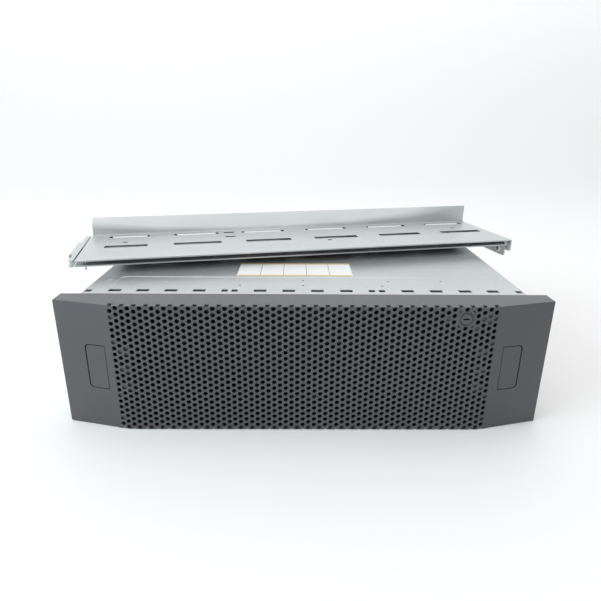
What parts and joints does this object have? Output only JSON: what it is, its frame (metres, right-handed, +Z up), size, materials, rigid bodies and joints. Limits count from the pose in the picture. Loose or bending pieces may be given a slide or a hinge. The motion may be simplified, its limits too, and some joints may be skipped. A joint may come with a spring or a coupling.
{
  "type": "rack storage array",
  "caption": "Three-unit rack disk array with a perforated clip-on bezel, pull-out disk carriers, rear power and link modules, and a pair of folded rack rails lying on its cover.",
  "frame": {"origin": "centre of the underside of the chassis floor", "axes": "+X right seen from the front, +Y towards the rear panels, +Z up"},
  "size_m": [0.5667, 0.3916, 0.1718],
  "materials": {
    "galvanised_steel": "galvanised",
    "rail_steel": "galvanised",
    "module_steel": "galvanised",
    "carrier_metal": "satin",
    "lever_plastic": "satin",
    "bezel_plastic": "fine grain",
    "pin_steel": "zinc plated",
    "lock_black": "satin",
    "board_green": "solder mask",
    "plug_black": "moulded",
    "guide_plastic": "moulded",
    "blower_plastic": "moulded",
    "handle_plastic": "moulded"
  },
  "bodies": {
    "chassis": {"chassis_tray": "galvanised_steel", "top_cover": "galvanised_steel", "upper_guides": "guide_plastic", "lower_guides": "guide_plastic", "midplane_board": "board_green", "midplane_plugs": "plug_black", "module_shelves": "galvanised_steel", "left_ear": "galvanised_steel", "right_ear": "galvanised_steel"},
    "bezel": {"bezel_shell": "bezel_plastic", "latch_pins": "pin_steel", "lock_barrel": "lock_black"},
    "left_latch": {"left_latch": "bezel_plastic"},
    "right_latch": {"right_latch": "bezel_plastic"},
    "lock": {"lock_plug": "lock_black", "lock_cam": "pin_steel"},
    "drive_01": {"drive_carrier_01": "carrier_metal"},
    "lever_01": {"drive_lever_01": "lever_plastic"},
    "drive_02": {"drive_carrier_02": "carrier_metal"},
    "lever_02": {"drive_lever_02": "lever_plastic"},
    "drive_03": {"drive_carrier_03": "carrier_metal"},
    "lever_03": {"drive_lever_03": "lever_plastic"},
    "drive_04": {"drive_carrier_04": "carrier_metal"},
    "lever_04": {"drive_lever_04": "lever_plastic"},
    "drive_05": {"drive_carrier_05": "carrier_metal"},
    "lever_05": {"drive_lever_05": "lever_plastic"},
    "drive_06": {"drive_carrier_06": "carrier_metal"},
    "lever_06": {"drive_lever_06": "lever_plastic"},
    "drive_07": {"drive_carrier_07": "carrier_metal"},
    "lever_07": {"drive_lever_07": "lever_plastic"},
    "drive_08": {"drive_carrier_08": "carrier_metal"},
    "lever_08": {"drive_lever_08": "lever_plastic"},
    "drive_09": {"drive_carrier_09": "carrier_metal"},
    "lever_09": {"drive_lever_09": "lever_plastic"},
    "drive_10": {"drive_carrier_10": "carrier_metal"},
    "lever_10": {"drive_lever_10": "lever_plastic"},
    "drive_11": {"drive_carrier_11": "carrier_metal"},
    "lever_11": {"drive_lever_11": "lever_plastic"},
    "drive_12": {"drive_carrier_12": "carrier_metal"},
    "lever_12": {"drive_lever_12": "lever_plastic"},
    "drive_13": {"drive_carrier_13": "carrier_metal"},
    "lever_13": {"drive_lever_13": "lever_plastic"},
    "drive_14": {"drive_carrier_14": "carrier_metal"},
    "lever_14": {"drive_lever_14": "lever_plastic"},
    "drive_15": {"drive_carrier_15": "carrier_metal"},
    "lever_15": {"drive_lever_15": "lever_plastic"},
    "power_a": {"power_case_a": "module_steel"},
    "blower_a": {"blower_rotor_a": "blower_plastic"},
    "bail_a": {"power_bail_a": "handle_plastic"},
    "card_a": {"link_card_a": "module_steel"},
    "ejector_a": {"card_ejector_a": "handle_plastic"},
    "power_b": {"power_case_b": "module_steel"},
    "blower_b": {"blower_rotor_b": "blower_plastic"},
    "bail_b": {"power_bail_b": "handle_plastic"},
    "card_b": {"link_card_b": "module_steel"},
    "ejector_b": {"card_ejector_b": "handle_plastic"},
    "lower_rail": {"lower_rail": "rail_steel"},
    "lower_rail_adjuster": {"lower_rail_adjuster": "rail_steel"},
    "upper_rail": {"upper_rail": "rail_steel"},
    "upper_rail_adjuster": {"upper_rail_adjuster": "rail_steel"}
  },
  "joints": [
    {"name": "bezel_pull", "type": "slide", "parent": "chassis", "child": "bezel", "axis": [0, -1, 0], "range_m": [0, 0.4]},
    {"name": "left_latch_press", "type": "hinge", "parent": "bezel", "child": "left_latch", "pos_m": [-0.1964, -0.20252, 0.0672], "axis": [0, 0, -1], "range_deg": [0, 6], "stiffness_Nm_per_rad": 0.6},
    {"name": "right_latch_press", "type": "hinge", "parent": "bezel", "child": "right_latch", "pos_m": [0.1964, -0.20252, 0.0672], "axis": [0, 0, 1], "range_deg": [0, 6], "stiffness_Nm_per_rad": 0.6},
    {"name": "lock_turn", "type": "hinge", "parent": "bezel", "child": "lock", "pos_m": [0.1516, -0.2138, 0.1211], "axis": [0, 1, 0], "range_deg": [0, 90]},
    {"name": "drive_01_slide", "type": "slide", "parent": "chassis", "child": "drive_01", "axis": [0, -1, 0], "range_m": [0, 0.18]},
    {"name": "lever_01_open", "type": "hinge", "parent": "drive_01", "child": "lever_01", "pos_m": [-0.2059, -0.1714, 0.0136], "axis": [1, 0, 0], "range_deg": [0, 50]},
    {"name": "drive_02_slide", "type": "slide", "parent": "chassis", "child": "drive_02", "axis": [0, -1, 0], "range_m": [0, 0.18]},
    {"name": "lever_02_open", "type": "hinge", "parent": "drive_02", "child": "lever_02", "pos_m": [-0.177, -0.1714, 0.0136], "axis": [1, 0, 0], "range_deg": [0, 50]},
    {"name": "drive_03_slide", "type": "slide", "parent": "chassis", "child": "drive_03", "axis": [0, -1, 0], "range_m": [0, 0.18]},
    {"name": "lever_03_open", "type": "hinge", "parent": "drive_03", "child": "lever_03", "pos_m": [-0.1481, -0.1714, 0.0136], "axis": [1, 0, 0], "range_deg": [0, 50]},
    {"name": "drive_04_slide", "type": "slide", "parent": "chassis", "child": "drive_04", "axis": [0, -1, 0], "range_m": [0, 0.18]},
    {"name": "lever_04_open", "type": "hinge", "parent": "drive_04", "child": "lever_04", "pos_m": [-0.1192, -0.1714, 0.0136], "axis": [1, 0, 0], "range_deg": [0, 50]},
    {"name": "drive_05_slide", "type": "slide", "parent": "chassis", "child": "drive_05", "axis": [0, -1, 0], "range_m": [0, 0.18]},
    {"name": "lever_05_open", "type": "hinge", "parent": "drive_05", "child": "lever_05", "pos_m": [-0.0903, -0.1714, 0.0136], "axis": [1, 0, 0], "range_deg": [0, 50]},
    {"name": "drive_06_slide", "type": "slide", "parent": "chassis", "child": "drive_06", "axis": [0, -1, 0], "range_m": [0, 0.18]},
    {"name": "lever_06_open", "type": "hinge", "parent": "drive_06", "child": "lever_06", "pos_m": [-0.0578, -0.1714, 0.0136], "axis": [1, 0, 0], "range_deg": [0, 50]},
    {"name": "drive_07_slide", "type": "slide", "parent": "chassis", "child": "drive_07", "axis": [0, -1, 0], "range_m": [0, 0.18]},
    {"name": "lever_07_open", "type": "hinge", "parent": "drive_07", "child": "lever_07", "pos_m": [-0.0289, -0.1714, 0.0136], "axis": [1, 0, 0], "range_deg": [0, 50]},
    {"name": "drive_08_slide", "type": "slide", "parent": "chassis", "child": "drive_08", "axis": [0, -1, 0], "range_m": [0, 0.18]},
    {"name": "lever_08_open", "type": "hinge", "parent": "drive_08", "child": "lever_08", "pos_m": [0, -0.1714, 0.0136], "axis": [1, 0, 0], "range_deg": [0, 50]},
    {"name": "drive_09_slide", "type": "slide", "parent": "chassis", "child": "drive_09", "axis": [0, -1, 0], "range_m": [0, 0.18]},
    {"name": "lever_09_open", "type": "hinge", "parent": "drive_09", "child": "lever_09", "pos_m": [0.0289, -0.1714, 0.0136], "axis": [1, 0, 0], "range_deg": [0, 50]},
    {"name": "drive_10_slide", "type": "slide", "parent": "chassis", "child": "drive_10", "axis": [0, -1, 0], "range_m": [0, 0.18]},
    {"name": "lever_10_open", "type": "hinge", "parent": "drive_10", "child": "lever_10", "pos_m": [0.0578, -0.1714, 0.0136], "axis": [1, 0, 0], "range_deg": [0, 50]},
    {"name": "drive_11_slide", "type": "slide", "parent": "chassis", "child": "drive_11", "axis": [0, -1, 0], "range_m": [0, 0.18]},
    {"name": "lever_11_open", "type": "hinge", "parent": "drive_11", "child": "lever_11", "pos_m": [0.0903, -0.1714, 0.0136], "axis": [1, 0, 0], "range_deg": [0, 50]},
    {"name": "drive_12_slide", "type": "slide", "parent": "chassis", "child": "drive_12", "axis": [0, -1, 0], "range_m": [0, 0.18]},
    {"name": "lever_12_open", "type": "hinge", "parent": "drive_12", "child": "lever_12", "pos_m": [0.1192, -0.1714, 0.0136], "axis": [1, 0, 0], "range_deg": [0, 50]},
    {"name": "drive_13_slide", "type": "slide", "parent": "chassis", "child": "drive_13", "axis": [0, -1, 0], "range_m": [0, 0.18]},
    {"name": "lever_13_open", "type": "hinge", "parent": "drive_13", "child": "lever_13", "pos_m": [0.1481, -0.1714, 0.0136], "axis": [1, 0, 0], "range_deg": [0, 50]},
    {"name": "drive_14_slide", "type": "slide", "parent": "chassis", "child": "drive_14", "axis": [0, -1, 0], "range_m": [0, 0.18]},
    {"name": "lever_14_open", "type": "hinge", "parent": "drive_14", "child": "lever_14", "pos_m": [0.177, -0.1714, 0.0136], "axis": [1, 0, 0], "range_deg": [0, 50]},
    {"name": "drive_15_slide", "type": "slide", "parent": "chassis", "child": "drive_15", "axis": [0, -1, 0], "range_m": [0, 0.18]},
    {"name": "lever_15_open", "type": "hinge", "parent": "drive_15", "child": "lever_15", "pos_m": [0.2059, -0.1714, 0.0136], "axis": [1, 0, 0], "range_deg": [0, 50]},
    {"name": "power_a_slide", "type": "slide", "parent": "chassis", "child": "power_a", "axis": [0, 1, 0], "range_m": [0, 0.14]},
    {"name": "blower_a_spin", "type": "hinge", "parent": "power_a", "child": "blower_a", "pos_m": [0.01, 0.103, 0.0048], "axis": [0, 0, 1], "continuous": true},
    {"name": "bail_a_swing", "type": "hinge", "parent": "power_a", "child": "bail_a", "pos_m": [0.14, 0.173, 0.0352], "axis": [1, 0, 0], "range_deg": [0, 90]},
    {"name": "card_a_slide", "type": "slide", "parent": "chassis", "child": "card_a", "axis": [0, 1, 0], "range_m": [0, 0.14]},
    {"name": "ejector_a_swing", "type": "hinge", "parent": "card_a", "child": "ejector_a", "pos_m": [0.196, 0.173, 0.0537], "axis": [0, 0, -1], "range_deg": [0, 80]},
    {"name": "power_b_slide", "type": "slide", "parent": "chassis", "child": "power_b", "axis": [0, 1, 0], "range_m": [0, 0.14]},
    {"name": "blower_b_spin", "type": "hinge", "parent": "power_b", "child": "blower_b", "pos_m": [0.01, 0.103, 0.0927], "axis": [0, 0, 1], "continuous": true},
    {"name": "bail_b_swing", "type": "hinge", "parent": "power_b", "child": "bail_b", "pos_m": [0.14, 0.173, 0.1231], "axis": [1, 0, 0], "range_deg": [0, 90]},
    {"name": "card_b_slide", "type": "slide", "parent": "chassis", "child": "card_b", "axis": [0, 1, 0], "range_m": [0, 0.14]},
    {"name": "ejector_b_swing", "type": "hinge", "parent": "card_b", "child": "ejector_b", "pos_m": [0.196, 0.173, 0.0769], "axis": [0, 0, -1], "range_deg": [0, 80]},
    {"name": "lower_rail_lift", "type": "slide", "parent": "chassis", "child": "lower_rail", "axis": [0, 0, 1], "range_m": [0, 0.25]},
    {"name": "lower_rail_adjust", "type": "slide", "parent": "lower_rail", "child": "lower_rail_adjuster", "axis": [-0.9778, -0.2096, 0], "range_m": [0, 0.12]},
    {"name": "upper_rail_lift", "type": "slide", "parent": "lower_rail", "child": "upper_rail", "axis": [0, 0, 1], "range_m": [0, 0.25]},
    {"name": "upper_rail_adjust", "type": "slide", "parent": "upper_rail", "child": "upper_rail_adjuster", "axis": [-0.9778, -0.2096, 0], "range_m": [0, 0.12]}
  ],
  "couplings": [
    {"joint": "drive_01_slide", "follows": "bezel_pull", "ratio": 0.45},
    {"joint": "lever_01_open", "follows": "bezel_pull", "rad_per_m": 2.15},
    {"joint": "drive_02_slide", "follows": "bezel_pull", "ratio": 0.45},
    {"joint": "lever_02_open", "follows": "bezel_pull", "rad_per_m": 2.15},
    {"joint": "drive_03_slide", "follows": "bezel_pull", "ratio": 0.45},
    {"joint": "lever_03_open", "follows": "bezel_pull", "rad_per_m": 2.15},
    {"joint": "drive_04_slide", "follows": "bezel_pull", "ratio": 0.45},
    {"joint": "lever_04_open", "follows": "bezel_pull", "rad_per_m": 2.15},
    {"joint": "drive_05_slide", "follows": "bezel_pull", "ratio": 0.45},
    {"joint": "lever_05_open", "follows": "bezel_pull", "rad_per_m": 2.15},
    {"joint": "drive_06_slide", "follows": "bezel_pull", "ratio": 0.45},
    {"joint": "lever_06_open", "follows": "bezel_pull", "rad_per_m": 2.15},
    {"joint": "drive_07_slide", "follows": "bezel_pull", "ratio": 0.45},
    {"joint": "lever_07_open", "follows": "bezel_pull", "rad_per_m": 2.15},
    {"joint": "drive_08_slide", "follows": "bezel_pull", "ratio": 0.45},
    {"joint": "lever_08_open", "follows": "bezel_pull", "rad_per_m": 2.15},
    {"joint": "drive_09_slide", "follows": "bezel_pull", "ratio": 0.45},
    {"joint": "lever_09_open", "follows": "bezel_pull", "rad_per_m": 2.15},
    {"joint": "drive_10_slide", "follows": "bezel_pull", "ratio": 0.45},
    {"joint": "lever_10_open", "follows": "bezel_pull", "rad_per_m": 2.15},
    {"joint": "drive_11_slide", "follows": "bezel_pull", "ratio": 0.45},
    {"joint": "lever_11_open", "follows": "bezel_pull", "rad_per_m": 2.15},
    {"joint": "drive_12_slide", "follows": "bezel_pull", "ratio": 0.45},
    {"joint": "lever_12_open", "follows": "bezel_pull", "rad_per_m": 2.15},
    {"joint": "drive_13_slide", "follows": "bezel_pull", "ratio": 0.45},
    {"joint": "lever_13_open", "follows": "bezel_pull", "rad_per_m": 2.15},
    {"joint": "drive_14_slide", "follows": "bezel_pull", "ratio": 0.45},
    {"joint": "lever_14_open", "follows": "bezel_pull", "rad_per_m": 2.15},
    {"joint": "drive_15_slide", "follows": "bezel_pull", "ratio": 0.45},
    {"joint": "lever_15_open", "follows": "bezel_pull", "rad_per_m": 2.15}
  ]
}
